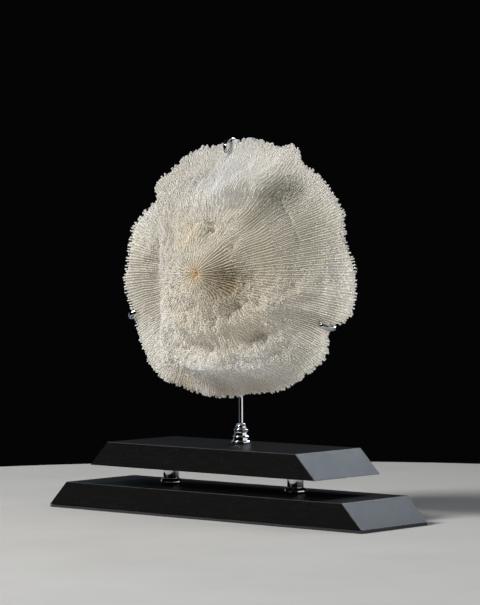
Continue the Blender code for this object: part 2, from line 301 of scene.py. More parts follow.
# %% Chrome finish
def chrome_finish():
    finish = Finish("polished chrome", Metallic=1.0)
    smudge = finish.grain(260, 3)
    finish.set(
        Base_Color=finish.ramp(smudge, (0.3, (0.50, 0.51, 0.53)), (0.7, (0.60, 0.60, 0.61))),
        Roughness=0.05 + 0.10 * smudge * finish.grain(900, 2),
    )
    finish.bump(finish.grain(120, 2), 0.05, 0.0004)
    return finish.material


chrome = chrome_finish()
print("made", chrome.name)

# %% [markdown]
# The boards are wood under black satin paint. The pores of the wood still show
# as fine lines along each board, so the noise is stretched along X, and it
# feeds both the bump and the roughness. A little dust lies in them. A thin
# lighter line is painted along the front edge of each board's top, as a painted
# highlight, which is where height less depth is greatest.

# %% Painted wood and felt finishes
EDGE_HIGHLIGHT_BAND = 0.5


def painted_wood_finish(name, node):
    """Black paint on one board, with a painted highlight along the front edge of its top."""
    finish = Finish(name, Specular_IOR_Level=0.08)
    low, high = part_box(node)
    pores = finish.grain(1, 4, 0.65, stretch=(90, 1300, 1300))
    bands = finish.grain(1, 3, 0.5, stretch=(7, 120, 120))
    dust = finish.ramp(finish.grain(700, 2), (0.66, (0, 0, 0)), (0.76, (1, 1, 1)))
    place = finish.node("ShaderNodeTexCoord", output=3)
    y, z = (finish.node("ShaderNodeSeparateXYZ", inputs={0: place}, output=k) for k in (1, 2))
    past = (z - y - (high.z - low.y - EDGE_HIGHLIGHT_BAND * MM)) * (1 / (EDGE_HIGHLIGHT_BAND * MM))
    edge_highlight = finish.node("ShaderNodeClamp", inputs={0: past * finish.grain(1, 3, stretch=(90, 400, 400))})
    colour = finish.ramp(pores, (0.40, (0.003, 0.003, 0.003)), (0.80, (0.010, 0.009, 0.009)))
    colour = finish.blend(dust * 0.10, colour, (0.35, 0.34, 0.32))
    finish.set(
        # Painted highlight: a thin lighter line along the front top edge
        Base_Color=finish.blend(edge_highlight * 0.8, colour, (0.30, 0.29, 0.28)),
        Roughness=0.30 + 0.16 * pores + 0.08 * bands,
    )
    finish.bump(pores + 0.5 * bands, 0.2, 0.0003)
    return finish.material


def felt_finish():
    finish = Finish("black felt", Roughness=0.95, Sheen_Weight=0.3)
    fibres = finish.grain(2400, 3, 0.7)
    finish.set(Base_Color=finish.ramp(fibres, (0.3, (0.008, 0.008, 0.009)), (0.8, (0.04, 0.04, 0.042))))
    finish.bump(fibres, 0.6, 0.0003)
    return finish.material


upper_wood = painted_wood_finish("black paint of the upper board", "upper_board")
lower_wood = painted_wood_finish("black paint of the lower board", "lower_board")
felt = felt_finish()
print("made", upper_wood.name, "and", lower_wood.name, "and", felt.name)

# %% [markdown]
# ## The coral's form
# The numbers below are the coral's own measurements, the same as in the CAD
# source: the rim's distance from the mouth all round, the height of the domed
# face, its mounds, pits and ridges. They are in millimetres, because that is
# how the specimen would be measured with a ruler. The scene uses them again so
# that its fine surface follows the CAD solid closely, and adds what the solid
# leaves out: creases where growth paused, and worn and pitted places.

# %% Measurements of the coral
# Rim radius around the mouth: angle from +X towards +Z, radius
OUTLINE = (
    (0, 109), (6, 106), (13, 102.5), (23, 106.5), (31, 105), (43, 101.5), (52, 99),
    (57, 103.5), (61, 103.5), (65, 97.5), (72, 96.5), (84, 95.5), (97, 93), (104, 93.5),
    (112, 97), (129, 98.5), (137, 101.5), (141, 103), (144, 99.5), (146.5, 95),
    (149, 98), (158, 105), (163, 109.5), (177, 111.5), (184, 115), (195, 110),
    (206, 110), (219, 111.5), (226, 108.5), (234, 102), (243, 97), (252, 93.5),
    (270, 88), (283, 87), (293, 90.5), (315, 96), (325, 99.5), (333, 94), (338.5, 95),
    (341, 104), (345, 108.5), (352, 110),
)
# Height of the face in front of the rim plane: distance from the mouth, height
CROWN = (
    (0, 47), (6, 48), (15, 45), (30, 37), (45, 28), (55, 22.5), (65, 18), (75, 13),
    (84, 8.5), (95, 5.5), (105, 4.4), (120, 3.6),
)
# Mounds and pits: x and z from the mouth, half length, half width, turn, rise
FORMS = (
    (2, 58, 34, 19, 5, 11),
    (-38, 47, 22, 15, 40, 8),
    (26, 67, 26, 7, 31, 8),
    (39, 51, 26, 9, 33, -6),
    (5, -58, 45, 16, 0, 6),
    (-63, -4, 15, 44, 0, -14),
    (7, 30, 4, 3, 0, -5),
    (24, -5, 16, 10, -12, -9),
    (22, 22, 7, 4, 30, 3),
    (34, 20, 5, 4, 0, 3),
    (21, -21, 8, 6, 0, 4),
    (5, -28, 5, 5, 0, 3),
    (-5, -24, 4, 4, 0, -3),
    (13, -30, 4, 3, 0, -3),
    (29, -22, 5, 3, 0, -3),
    (27, -33, 20, 7, 16, 6),
    (75, -10, 9, 5, 20, 4),
    (54, -22, 20, 6, 22, 4),
    (-81, 7, 9, 4, 0, -3),
    (-84, -32, 9, 4, 20, -3),
    (-11, -52, 14, 7, 0, -6),
    (36, -43, 12, 6, 12, -6),
)
# Ridges round the mouth: path of angle and distance, half width, rise
RIDGES = (
    (((150, 63), (175, 63), (200, 65), (225, 72)), 7, 7),
    (((207, 67), (222, 72), (244, 73), (262, 70), (276, 71), (290, 74), (325, 88)), 6, 11),
    (((205, 50), (226, 50), (245, 43), (266, 40), (292, 39)), 5, 3),
    (((172, 43), (228, 41)), 5, 3),
    (((-30, 90), (-8, 91), (8, 90), (30, 92)), 4, 3),
)
# Degrees over which a ridge fades out at its ends, and lumps: size, rise
RIDGE_FADE = 18
LUMPS = ((15, 2.2), (7, 1.0))
# Half thickness of the rim, its rounding, and how far in the face rises fully
EDGE_HALF = 2.2
EDGE_ROUND = 5
MARGIN = 30
# The hollow underside: its share of the crown, and the height where it starts
CAVITY_SHARE = 0.62
CAVITY_START = 6
print("outline points:", len(OUTLINE), "forms:", len(FORMS), "ridges:", len(RIDGES))

# %% Fine forms that only the scene has
# Creases are cut like ridges, and dents like pits
CREASES = (
    (((12, 73), (29, 73), (48, 72)), 1.5, -2.2),
    (((26, 90), (42, 91)), 1.6, -1.8),
    (((350, 62), (357, 63), (359.9, 64)), 1.6, -1.4),
    (((318, 74), (332, 76), (345, 75)), 1.6, -1.6),
    (((60, 38), (80, 36), (110, 37)), 1.8, -1.5),
)
CREASE_FADE = 7
DENTS = (
    (-12, -52, 13, 6, 0, -5), (35, -44, 11, 5, 12, -3), (6, 26, 3, 7, 20, -3), (-90, 6, 10, 3, 0, -2),
)
# Rubbed places, and places where the blades still run clean: x, z, half length, half width
WORN = ((2, 62, 42, 24), (-40, 50, 26, 20), (-16, 25, 18, 14), (-62, -6, 9, 40))
COMBED = ((58, 24, 36, 26), (-90, -6, 20, 34), (6, 10, 16, 16), (80, -30, 18, 20), (-8, -85, 55, 13))
# Fine lumps: size, rise and layer of the noise
FINE_LUMPS = ((11, 3.2, 11.0), (5.5, 2.4, 12.0), (2.8, 1.2, 13.0))
# The mouth's slit, and the height above which nothing stands
SLIT_DEPTH = 2
SLIT_HALF_WIDTH = 0.7
SLIT_HALF_LENGTH = 2.4
SLIT_LEAN = 0.4
PEAK = 46.2
print("creases:", len(CREASES), "worn places:", len(WORN), "combed places:", len(COMBED))

# %% Height of the face and of the underside
def smooth_step(x, low, high):
    t = np.clip((x - low) / (high - low), 0, 1)
    return t * t * (3 - 2 * t)


def curve_value(points, x):
    """Height at x of a smooth curve through points sorted by x."""
    xs, ys = np.array(points, float).T
    last = len(xs) - 1
    before = np.maximum(np.arange(last + 1) - 1, 0)
    after = np.minimum(np.arange(last + 1) + 1, last)
    slope = (ys[after] - ys[before]) / (xs[after] - xs[before])
    i = np.clip(np.searchsorted(xs, x, side="right") - 1, 0, last - 1)
    width = xs[i + 1] - xs[i]
    t = np.clip((x - xs[i]) / width, 0, 1)
    return (
        ys[i] * (1 + 2 * t) * (1 - t) ** 2
        + ys[i + 1] * t * t * (3 - 2 * t)
        + slope[i] * width * t * (1 - t) ** 2
        + slope[i + 1] * width * t * t * (t - 1)
    )


def rim_radius(angle):
    before, after = OUTLINE[-2:], OUTLINE[:3]
    wrapped = (
        tuple((a - 360, r) for a, r in before)
        + OUTLINE
        + tuple((a + 360, r) for a, r in after)
    )
    return curve_value(wrapped, angle % 360)


def lumps(x, z, size, layer=0.0):
    """Smooth noise from about -1 to 1, in lumps of this size in millimetres."""
    x, z = np.broadcast_arrays(x, z)
    values = [
        noise.noise((a, b, layer))
        for a, b in zip((x / size).ravel().tolist(), (z / size).ravel().tolist())
    ]
    return np.array(values).reshape(x.shape)


def form_rise(forms, x, z):
    total = np.zeros(np.broadcast(x, z).shape)
    for cx, cz, length, width, turn, rise in forms:
        a = math.radians(turn)
        u = (x - cx) * math.cos(a) + (z - cz) * math.sin(a)
        v = (z - cz) * math.cos(a) - (x - cx) * math.sin(a)
        total += rise * np.exp(-(u / length) ** 2 - (v / width) ** 2)
    return total


def ridge_rise(ridges, fade_width, angle, distance):
    total = np.zeros(np.broadcast(angle, distance).shape)
    for path, width, rise in ridges:
        first, last = path[0][0], path[-1][0]
        angle = (angle - first) % 360 + first
        fade = smooth_step(angle, first, first + fade_width)
        fade = fade * (1 - smooth_step(angle, last - fade_width, last))
        offset = (distance - curve_value(path, angle)) / width
        total += fade * rise * np.exp(-offset * offset)
    return total


def within(places, x, z):
    """1 inside any of these places, and 0 well away from them."""
    total = np.zeros(np.broadcast(x, z).shape)
    for cx, cz, length, width in places:
        total += np.exp(-((x - cx) / length) ** 4 - ((z - cz) / width) ** 4)
    return np.clip(total, 0, 1)


def edge_half(inside):
    t = np.clip(inside / EDGE_ROUND, 0, 1)
    return EDGE_HALF * np.sqrt(1 - (1 - t) ** 2)


def front_height(angle, distance, trim=0, fine=True):
    """Height of the face in front of the rim's plane, with so much off the rim."""
    angle = angle % 360
    inside = rim_radius(angle) - trim - distance
    x = distance * np.cos(np.radians(angle))
    z = distance * np.sin(np.radians(angle))
    body = curve_value(CROWN, distance) + form_rise(FORMS, x, z)
    body = body + ridge_rise(RIDGES, RIDGE_FADE, angle, distance)
    for size, rise in LUMPS:
        body = body + rise * lumps(x, z, size)
    if fine:
        body = body + ridge_rise(CREASES, CREASE_FADE, angle, distance) + form_rise(DENTS, x, z)
        rough = 1 - 0.75 * within(COMBED, x, z) - 0.4 * within(WORN, x, z)
        rough = rough * smooth_step(distance, 6, 34)
        for size, rise, layer in FINE_LUMPS:
            body = body + rise * rough * lumps(x, z, size, layer)
        across = (x - SLIT_LEAN * z) / SLIT_HALF_WIDTH
        body = body - SLIT_DEPTH * np.exp(-(across ** 2) - (z / SLIT_HALF_LENGTH) ** 2)
        body = body - np.logaddexp(0, 2 * (body - PEAK)) / 2
    return edge_half(inside) + np.maximum(body, 0) * smooth_step(inside, 0, MARGIN)


def back_height(angle, distance, trim=0):
    """Height of the hollow underside in front of the rim's plane."""
    inside = rim_radius(angle) - trim - distance
    hollow = np.maximum(curve_value(CROWN, distance) - CAVITY_START, 0) * CAVITY_SHARE
    return hollow * smooth_step(inside, 0, MARGIN) - edge_half(inside)


print("height at the mouth's side:", round(float(front_height(np.array(90.0), np.array(8.0))), 1), "mm")

# %% [markdown]
# ## The coral's body
# Under the blades is a wall of stone. A sphere is a good start for it: half of
# its points are laid on the face and half on the underside, so the rim comes
# out closed and round by itself. The wall lies 1.2 mm below the CAD surface,
# which leaves the blades that much room to stand up from it. The grooves are
# deeper round the mouth, and half filled where the face is rubbed.

# %% How deep the wall lies
BODY_SINK = 1.2
MOUTH_SINK = 1.8
WORN_FILL = 0.6
RIM_TRIM = 0.7


def sink(angle, distance):
    """How far below the CAD surface the wall lies, deepest round the mouth."""
    x = distance * np.cos(np.radians(angle))
    z = distance * np.sin(np.radians(angle))
    wall = BODY_SINK * (1 - WORN_FILL * within(WORN, x, z))
    return wall + MOUTH_SINK * (1 - smooth_step(distance, 10, 36))


print("wall below the face:", BODY_SINK, "mm, and up to", BODY_SINK + MOUTH_SINK, "mm at the mouth")

# %% Helpers for meshes
def only(item):
    """Make one object the active one, alone selected."""
    bpy.ops.object.select_all(action="DESELECT")
    item.select_set(True)
    bpy.context.view_layer.objects.active = item
    return item


def points_of(item):
    places = np.empty(len(item.data.vertices) * 3)
    item.data.vertices.foreach_get("co", places)
    return places.reshape(-1, 3)


def place_points(item, places):
    item.data.vertices.foreach_set("co", places.ravel())
    item.data.update()


def on_face(angle, distance, height):
    """Points in metres from polar places and heights in millimetres."""
    x = CORAL_X + distance * np.cos(np.radians(angle))
    z = CORAL_Z + distance * np.sin(np.radians(angle))
    return np.stack(np.broadcast_arrays(x, RIM_Y - height, z), axis=-1) * MM


def set_crest(item, values):
    crest = item.data.attributes.new("crest", "FLOAT", "POINT")
    crest.data.foreach_set("value", np.ascontiguousarray(values, np.float32).ravel())


def dress(item, material, replaced):
    """Give a finished piece its material and tell the frame what it stands for."""
    item.data.materials.clear()
    item.data.materials.append(material)
    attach(item, "root")
    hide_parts(*replaced)
    item.data.calc_loop_triangles()
    print(item.name, len(item.data.loop_triangles), "triangles")


print("mesh helpers ready")

# %% Body of the coral
# Roughness of the wall: depth and size
GRIT = 0.25
GRIT_SIZE = 1.6
# Crest of the wall, and what rubbed, woolly and outer places add to it. A low crest paints the wall between
# the blades dark, as painted shade, and these additions paint less of it.
WALL_CREST = 0.05
WORN_CREST = 0.55
WOOLLY_CREST = 0.35
OUTER_CREST = 0.25


def add_body():
    bpy.ops.object.select_all(action="DESELECT")
    bpy.ops.mesh.primitive_uv_sphere_add(segments=300, ring_count=200, radius=1)
    body = bpy.context.object
    body.name = "coral_body"
    unit = points_of(body)
    angle = np.degrees(np.arctan2(unit[:, 1], unit[:, 0]))
    distance = np.minimum(np.hypot(unit[:, 0], unit[:, 1]), 1) * (rim_radius(angle) - RIM_TRIM)
    front = unit[:, 2] > -1e-5
    face = front_height(angle, distance, RIM_TRIM)
    height = np.where(front, face, back_height(angle, distance, RIM_TRIM))
    place_points(body, on_face(angle, distance, height))
    normals = np.empty(len(body.data.vertices) * 3)
    body.data.vertices.foreach_get("normal", normals)
    grit = GRIT * lumps(unit[:, 0] * 100, unit[:, 1] * 100, GRIT_SIZE, 5.0)
    deep = np.where(front, sink(angle, distance), BODY_SINK)
    sunk = points_of(body) - normals.reshape(-1, 3) * (deep + grit)[:, None] * MM
    place_points(body, sunk)
    x = distance * np.cos(np.radians(angle))
    z = distance * np.sin(np.radians(angle))
    less_painted_shade = np.maximum(WORN_CREST * within(WORN, x, z), WOOLLY_CREST * (1 - within(COMBED, x, z)))
    set_crest(body, WALL_CREST + less_painted_shade + OUTER_CREST * smooth_step(distance, 60, 95))
    only(body)
    bpy.ops.object.shade_smooth()
    return body


coral_body = add_body()
dress(coral_body, coral_skeleton, ["coral"])

# %% [markdown]
# ## The septa
# The blades come in orders. The first few start at the mouth, and wherever the
# gaps between them have grown wide enough, a new blade starts in each gap. So
# their spacing stays near 2 mm from the mouth to the rim, where there are
# about 320 of them. Each blade is one narrow grid with four points across:
# foot, edge, edge, foot. The grid is made once for an order, an Array modifier
# repeats it, and then every copy is laid over its own line from the mouth,
# round the rim and back along the underside. Its edge is cut into small teeth.

# %% Lines that the blades follow
# Steps along the face and the underside, and where a blade ends underneath
STEP = 0.5
BACK_STEP = 1.4
BACK_END = 12
# A usual rim radius, and the share of the way to the rim where finer steps begin
USUAL_RIM = 100
NEAR_RIM = 0.94
# Sideways sway of the blades: size, reach and layer of the noise
SWAYS = ((26, 0.7, 2.0), (7, 0.3, 3.0))


def blade_course(start):
    """Shares of the way to the rim, out along the face and back underneath."""
    turning = NEAR_RIM + (1 - np.linspace(1, 0, 9) ** 2) * (1 - NEAR_RIM)
    face = np.linspace(0, NEAR_RIM, int(NEAR_RIM * (USUAL_RIM - start) / STEP))[:-1]
    back = np.linspace(NEAR_RIM, 0, int(NEAR_RIM * (USUAL_RIM - BACK_END) / BACK_STEP))[1:]
    shares = np.concatenate([face, turning, turning[-2::-1], back])
    below = np.arange(len(shares)) >= len(face) + len(turning)
    return shares, below


def blade_lines(angles, start):
    """Mid-lines of blades: places, distances, and side and outward directions."""
    shares, below = blade_course(start)
    inner = np.where(below, BACK_END, start)
    rim = rim_radius(angles)[:, None]
    distance = inner + (rim - inner) * shares
    x = distance * np.cos(np.radians(angles))[:, None]
    z = distance * np.sin(np.radians(angles))[:, None]
    sway = sum(reach * lumps(x, z, size, layer) for size, reach, layer in SWAYS)
    sway = sway * smooth_step(distance, 5, 40)
    bearing = angles[:, None] + np.degrees(sway / distance)
    rim = rim_radius(bearing)
    distance = inner + (rim - inner) * shares
    height = np.where(below, back_height(bearing, distance), front_height(bearing, distance))
    centre = on_face(bearing, distance, height)
    turn = np.radians(bearing)
    side = np.stack([-np.sin(turn), np.zeros_like(turn), np.cos(turn)], axis=-1)
    along = np.gradient(centre, axis=1)
    outward = np.cross(along, side)
    outward /= np.linalg.norm(outward, axis=-1, keepdims=True)
    return centre, side, outward, bearing, distance, rim - distance, below


trial = blade_lines(np.array([0.0, 90.0]), 3)[0]
print("a first blade has", trial.shape[1], "steps")

# %% Teeth and width of the blades
FOOT_HALF = 0.66
EDGE_HALF_WIDTH = 0.3
WIDEST_SPACING = 2.0
TOOTH_PITCH = (1.5, 1.9)
EDGE_RISE = 0.75
HIGHEST_EDGE = 0.8
UNDERSIDE_RISE = 0.15


def blade_section(order, count, start, line, chance):
    """Half widths at foot and edge, and the edge's height, in millimetres."""
    centre, _, _, bearing, distance, inside, below = line
    x = distance * np.cos(np.radians(bearing))
    z = distance * np.sin(np.radians(bearing))
    rubbed = within(WORN, x, z) * ~below
    woolly = (1 - within(COMBED, x, z)) * (1 - 0.8 * rubbed) * ~below
    travel = np.cumsum(np.linalg.norm(np.diff(centre, axis=1, prepend=centre[:, :1]), axis=-1), axis=1)
    phase = chance.uniform(0, 1, (len(centre), 1))
    pitch = chance.uniform(*TOOTH_PITCH, (len(centre), 1)) * MM
    tooth = np.abs(np.sin(np.pi * (travel / pitch + phase))) ** 0.7
    nick = chance.uniform(-1, 1, distance.shape)
    # The teeth are more ragged in woolly places, and worn down in rubbed ones
    top = EDGE_RISE - 0.02 * order + (0.5 + 0.7 * woolly) * (tooth - 1)
    top = top + (0.16 + 0.35 * woolly) * nick - 0.45 * rubbed + 0.7 * woolly * lumps(x, z, 2.0, 7.0)
    # At the brim some blades stand out and others end short
    lip = 1 - smooth_step(inside, 0, 5)
    reach = chance.uniform(-2.2, 1.0, (len(centre), 1)) + 1.4 * lumps(x, z, 5, 9.0) + 0.4 * nick
    top = top * (1 - 0.3 * lip) + reach * np.exp(-((inside / 2.0) ** 2))
    top = np.minimum(top, HIGHEST_EDGE)
    # The edge is low underneath, and rises from the wall where a blade starts
    under = np.where(inside < 6, top, UNDERSIDE_RISE - 0.05 * order + 0.35 * (tooth - 1))
    top = np.where(below, under, top)
    grown = smooth_step(distance, start, start + 5 + 3 * (order > 2))
    grown = np.where(below, smooth_step(distance, BACK_END, BACK_END + 10), grown)
    wall = np.where(below, BODY_SINK, sink(bearing, distance)) + 0.2
    top = -wall + (top + wall) * grown
    top = np.minimum(top, -1.0 + 2.2 * smooth_step(distance, 6, 34))
    # Blades are slimmer where they stand closer together
    crowding = 2 * np.pi * distance / count / WIDEST_SPACING
    slim = np.clip(crowding, 0.35, 1) * (1 - 0.06 * order) * (1 - 0.3 * lip)
    foot = FOOT_HALF * slim * (1 + 0.1 * nick)
    edge = EDGE_HALF_WIDTH * slim * (1 + 0.35 * rubbed) * (1 + 0.3 * nick) * (1 - 0.5 * lip)
    # The edge's crest: lower in the dips between teeth than on their points, as painted shade, lighter
    # where rubbed, and a little uneven
    lit = 0.5 + 0.4 * tooth + 0.1 * rubbed + chance.uniform(-0.08, 0.08, top.shape)
    return foot, edge, top, woolly + lip, np.clip(lit, 0, 1)


print("blade foot", 2 * FOOT_HALF, "mm wide, edge", 2 * EDGE_HALF_WIDTH, "mm wide")

# %% One order of blades as one piece
# Each order: its name, how many blades it adds, and how far from the mouth they start
ORDERS = (
    ("first_septa", 20, 1.5), ("second_septa", 20, 5), ("third_septa", 40, 11),
    ("fourth_septa", 80, 25), ("outer_septa", 160, 52),
)
BLADES = sum(new for name, new, start in ORDERS)
# How far a blade strays, as a share of the spacing at the rim, and the crest of its foot
UNEVEN = 0.16
# A higher foot crest means less painted shade at the blades' feet, near the rim and in woolly places
FOOT_CREST = 0.4


def add_blades(name, order, angles, count, start, seed):
    chance = np.random.default_rng(seed)
    angles = angles + chance.uniform(-UNEVEN, UNEVEN, len(angles)) * 360 / BLADES
    line = blade_lines(angles, start)
    centre, side, outward, bearing, distance, _, below = line
    steps = centre.shape[1] - 1
    foot, edge, top, grainy, bright = blade_section(order, count, start, line, chance)
    sunk = -np.where(below, BODY_SINK, sink(bearing, distance)) - RIM_TRIM
    x, z = (centre[..., k] / MM for k in (0, 2))
    lean = 0.9 * grainy * lumps(x, z, 1.4, 15.0 + order)
    across = np.stack([-foot, lean - edge, lean + edge, foot], axis=-1)[..., None] * MM
    up = np.stack([sunk, top, top, sunk], axis=-1)[..., None] * MM
    places = centre[:, :, None] + across * side[:, :, None] + up * outward[:, :, None]
    groove = FOOT_CREST * np.maximum(smooth_step(distance, 65, 100), grainy)
    crest = np.stack([groove, bright, bright, groove], axis=-1)

    bpy.ops.object.select_all(action="DESELECT")
    bpy.ops.mesh.primitive_grid_add(x_subdivisions=steps, y_subdivisions=3, size=2)
    blades = bpy.context.object
    blades.name = name
    grid = points_of(blades)
    column = np.rint((grid[:, 0] + 1) / 2 * steps).astype(int)
    row = np.rint((grid[:, 1] + 1) / 2 * 3).astype(int)
    repeat = blades.modifiers.new("one blade after another", "ARRAY")
    repeat.count = len(angles)
    bpy.ops.object.modifier_apply(modifier=repeat.name)
    place_points(blades, places[:, column, row])
    set_crest(blades, crest[:, column, row])
    keep = (chance.random(top.shape) < 0.08 + 0.44 * grainy) & (top > -0.9) & ~below
    tips = centre + (top * MM)[..., None] * outward
    return blades, (tips[keep], side[keep], outward[keep])


print("blades to make:", BLADES)

# %% All orders of blades
made = 0
grain_places = []
for order, (name, new, start) in enumerate(ORDERS):
    halfway = 0.5 if made else 0
    angles = (np.arange(new) + halfway) * 360 / new
    made += new
    blades, grains = add_blades(name, order, angles, made, start, seed=40 + order)
    dress(blades, coral_skeleton, ["coral"])
    grain_places.append(grains)
print("blades in all:", made)

# %% [markdown]
# ## The grains
# Each tooth of a septum ends in a few grains of stone, and it is these that
# make the skeleton look woolly and catch the light. One grain is an octahedron,
# a sphere of four segments and two rings. It is repeated by an Array modifier
# and every copy goes to a point on a blade's edge, with its own size and turn.

# %% Grains on the blades' teeth
# Least and greatest size, stretch outwards, and how far a grain sinks or lies aside
GRAIN_SIZE = (0.32, 0.75)
GRAIN_STRETCH = 1.3
GRAIN_SINK = 0.25
GRAIN_ASIDE = 0.45


def add_grains(name, tips, side, outward, seed):
    chance = np.random.default_rng(seed)
    bpy.ops.object.select_all(action="DESELECT")
    bpy.ops.mesh.primitive_uv_sphere_add(segments=4, ring_count=2, radius=1)
    grains = bpy.context.object
    grains.name = name
    shape = points_of(grains)
    repeat = grains.modifiers.new("one grain after another", "ARRAY")
    repeat.count = len(tips)
    bpy.ops.object.modifier_apply(modifier=repeat.name)
    along = np.cross(side, outward)
    turn = chance.uniform(0, np.pi, (len(tips), 1))
    first = side * np.cos(turn) + along * np.sin(turn)
    second = along * np.cos(turn) - side * np.sin(turn)
    size = chance.uniform(*GRAIN_SIZE, (len(tips), 3)) * MM
    size[:, 2] *= GRAIN_STRETCH
    aside = chance.uniform(-GRAIN_ASIDE, GRAIN_ASIDE, (len(tips), 1))
    shift = side * aside * MM - GRAIN_SINK * MM * outward
    axes = (first, second, outward)
    places = (tips + shift)[:, None] + sum(
        shape[None, :, k, None] * (size[:, k, None] * axes[k])[:, None] for k in range(3)
    )
    place_points(grains, places)
    set_crest(grains, np.repeat(chance.uniform(0.8, 1.0, len(tips)), len(shape)))
    return grains


for number, (tips, side, outward) in enumerate(grain_places):
    grains = add_grains(f"grains_{number + 1}", tips, side, outward, seed=60 + number)
    dress(grains, coral_skeleton, ["coral"])
print("pieces with grains:", len(grain_places))

# %% [markdown]
# ## Turned metal pieces
# The collar, the standoffs and the hub are turned on a lathe. A circle is
# enough to start from: its edge is extruded up the piece, a step at a time,
# and scaled to the next radius. A small bevel then rounds the corners, because
# a real turned edge always catches a thin line of light.

# %% Turned pieces
TURNED_SIDES = 72
SOFT_CORNER = 0.12
WELD = 0.005


def turn_up(name, profile, bored=False):
    """Extrude a circle, or a disc, through radius and height pairs in millimetres."""
    bpy.ops.object.select_all(action="DESELECT")
    radius, height = profile[0]
    fill = "NOTHING" if bored else "NGON"
    bpy.ops.mesh.primitive_circle_add(
        vertices=TURNED_SIDES, radius=radius * MM, fill_type=fill, location=(0, 0, height * MM)
    )
    piece = bpy.context.object
    piece.name = name
    bpy.ops.object.transform_apply(location=True)
    bpy.ops.object.mode_set(mode="EDIT")
    bpy.ops.mesh.select_all(action="SELECT")
    steps = list(profile[1:]) + ([profile[0]] if bored else [])
    for next_radius, next_height in steps:
        rise = (0, 0, (next_height - height) * MM)
        bpy.ops.mesh.extrude_region_move(TRANSFORM_OT_translate={"value": rise})
        ratio = next_radius / radius
        bpy.ops.transform.resize(value=(ratio, ratio, 1))
        radius, height = next_radius, next_height
    bpy.ops.mesh.select_all(action="SELECT")
    bpy.ops.mesh.remove_doubles(threshold=WELD * MM)
    bpy.ops.mesh.normals_make_consistent(inside=False)
    bpy.ops.object.mode_set(mode="OBJECT")
    soft = piece.modifiers.new("softened corners", "BEVEL")
    soft.width = SOFT_CORNER * MM
    soft.segments = 2
    soft.angle_limit = math.radians(25)
    bpy.ops.object.modifier_apply(modifier=soft.name)
    bpy.ops.object.shade_smooth_by_angle(angle=math.radians(35))
    return piece


def put(piece, place):
    """Move a piece to its place and leave its origin at the world's."""
    only(piece)
    piece.matrix_world = place
    bpy.ops.object.transform_apply(location=True, rotation=True, scale=True)


print("turning helper ready")

# %% Collar round the foot of the rod
# Profiles are radius and height pairs, in millimetres
COLLAR = (
    (1.8, 14.6), (2.9, 14.6), (3.3, 14.3), (3.2, 13.8), (3.6, 13.3), (4.1, 12.2),
    (4.1, 11.2), (3.6, 10.8), (5.0, 10.5), (5.3, 10.1), (5.1, 9.6), (4.75, 9.3),
    (4.75, 6.0), (5.7, 5.6), (6.15, 5.1), (5.7, 4.6), (5.5, 4.3), (5.8, 2.5),
    (6.5, 2.2), (7.1, 1.6), (7.1, 0.3), (6.8, 0), (1.8, 0),
)
low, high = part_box("rod_collar")
middle = (low + high) / 2
collar = turn_up("turned_collar", COLLAR, bored=True)
put(collar, Matrix.Translation((middle.x, middle.y, low.z)))
dress(collar, chrome, ["rod_collar"])

# %% Standoffs between the boards
STANDOFF = (
    (7.2, 0), (7.5, 0.3), (7.68, 0.9), (7.7, 1.4), (7.65, 1.9), (7.5, 2.4), (7.25, 2.9), (6.9, 3.3),
    (6.5, 3.6), (6.1, 3.8), (5.4, 3.9), (5.4, 4.3), (5.8, 4.5), (5.8, 12.8), (5.5, 13.1),
)
for name in ("standoff_left", "standoff_right"):
    low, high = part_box(name)
    standoff = turn_up("turned_" + name, STANDOFF)
    middle = (low + high) / 2
    put(standoff, Matrix.Translation((middle.x, middle.y, low.z)))
    dress(standoff, chrome, [name])

# %% Hub behind the coral
HUB = (
    (4.5, 0), (5.9, 0.3), (6.8, 0.9), (7.5, 1.7), (8.0, 2.6), (8.0, 8.5), (7.8, 8.8), (7.5, 9.0),
)
low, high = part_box("claw_hub")
hub = turn_up("turned_hub", HUB)
middle = (low + high) / 2
put(hub, Matrix.Translation((middle.x, high.y, middle.z)) @ Matrix.Rotation(math.pi / 2, 4, "X"))
dress(hub, chrome, ["claw_hub"])

# %% [markdown]
# ## The claws
# Each claw is a flat strip with rounded edges. It leaves the hub along the
# coral's back, bends over the rim and ends a little above the face. A sphere
# gives it closed ends: its rings are spread along the claw's mid-line, more of
# them round the bend, and each ring takes the strip's section.

# %% Mid-line of a claw
# Hub height, then the strip's start, place and half sizes, in millimetres
HUB_Z = 180
ARM_START = 3.2
ARM_Y = 5.0
HALF_WIDTH = 1.6
HALF_THICKNESS = 0.8
# The hook's reach back over the face, and its gap to the face
HOOK_LENGTH = 8.5
HOOK_CLEARANCE = 1.2
# Distances from the hub that are searched for the rim: first, last and step
SEARCH = (60, 140, 0.01)
CLAW_ANGLES = {"claw_top": 89.4, "claw_right": -24.8, "claw_left": 201.6}


def from_mouth(angle, out, aside=0.0):
    """Angle and distance from the mouth of a place this far out from the hub."""
    a = math.radians(angle)
    x = out * math.cos(a) - aside * math.sin(a) - CORAL_X
    z = out * math.sin(a) + aside * math.cos(a) + HUB_Z - CORAL_Z
    return np.degrees(np.arctan2(z, x)), np.hypot(x, z)


def rim_reach(angle):
    """Distance from the hub at which the whole strip is past the rim."""
    out = np.arange(*SEARCH)
    reaches = []
    for aside in (-HALF_WIDTH, 0, HALF_WIDTH):
        bearing, distance = from_mouth(angle, out, aside)
        reaches.append(out[np.argmin(distance < rim_radius(bearing))])
    return max(reaches)


